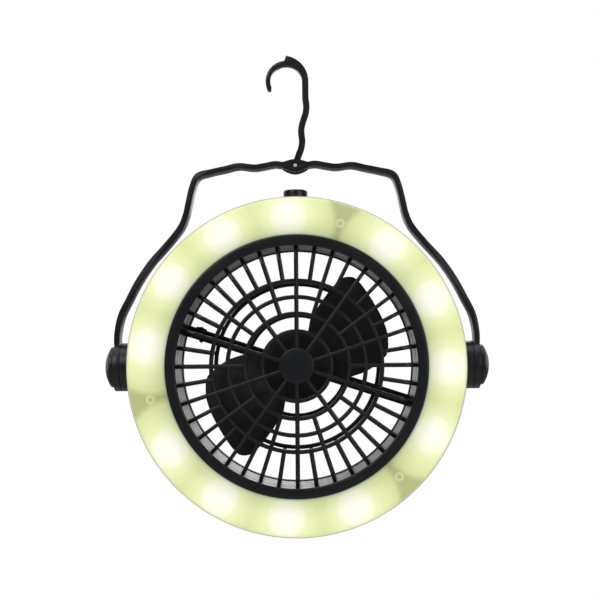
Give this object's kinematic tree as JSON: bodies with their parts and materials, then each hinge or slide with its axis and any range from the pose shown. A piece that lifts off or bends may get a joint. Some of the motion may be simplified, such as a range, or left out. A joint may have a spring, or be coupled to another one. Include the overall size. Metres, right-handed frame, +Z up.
{
  "type": "portable camping fan",
  "caption": "Portable camping fan: ducted fan inside a milky ring light, on a bail that turns on side pivots, with a folding hook on top, a push button and a battery door behind.",
  "frame": {"origin": "centre of the hook's round, at the middle of the hook's depth", "axes": "+Z up along the hanging fan, the grille and lit ring face -Y, +X to the right as the user faces the grille"},
  "size_m": [0.2132, 0.0455, 0.2667],
  "materials": {
    "black_abs": "satin moulded",
    "dark_moulding": "matt moulded",
    "milky_lens": "milky, lit from behind",
    "board_white": "solder-masked board",
    "emitter": "lit phosphor",
    "steel": "plated",
    "bronze": "sintered",
    "end_cap": "natural",
    "cell_wrap": "film wrap",
    "red_wire": "insulation",
    "black_wire": "insulation"
  },
  "bodies": {
    "hook": {"hook": "black_abs"},
    "bail": {"bail": "black_abs", "hook_pin": "steel"},
    "body": {"rear_housing": "black_abs", "rear_grille": "dark_moulding", "front_grille": "black_abs", "lens_ring": "milky_lens", "led_board": "board_white", "leds": "emitter", "lens_screws": "steel", "housing_screws": "steel", "pivot_cap_left": "black_abs", "pivot_cap_right": "black_abs", "pivot_screws": "steel", "motor_can": "steel", "motor_end_cap": "end_cap", "motor_bush": "bronze", "battery_tray": "dark_moulding", "battery_cells": "cell_wrap", "battery_contacts": "steel", "switch_body": "dark_moulding", "lead_red": "red_wire", "lead_black": "black_wire"},
    "rotor": {"impeller": "dark_moulding", "motor_shaft": "steel"},
    "button": {"power_button": "black_abs"},
    "door": {"battery_door": "black_abs"}
  },
  "joints": [
    {"name": "hook_fold", "type": "hinge", "parent": "hook", "child": "bail", "pos_m": [0.0047, 0, -0.0482], "axis": [0, 1, 0], "range_deg": [-34, 70]},
    {"name": "bail_turn", "type": "hinge", "parent": "bail", "child": "body", "pos_m": [0.0047, 0, -0.1597], "axis": [1, 0, 0], "continuous": true},
    {"name": "fan_spin", "type": "hinge", "parent": "body", "child": "rotor", "pos_m": [0.0047, -0.0035, -0.1597], "axis": [0, 1, 0], "continuous": true},
    {"name": "button_press", "type": "slide", "parent": "body", "child": "button", "axis": [0, 0, -1], "range_m": [0, 0.002], "stiffness_N_per_m": 400, "springref_m": -0.0005},
    {"name": "door_pull", "type": "slide", "parent": "body", "child": "door", "axis": [0, 1, 0], "range_m": [0, 0.012]}
  ]
}
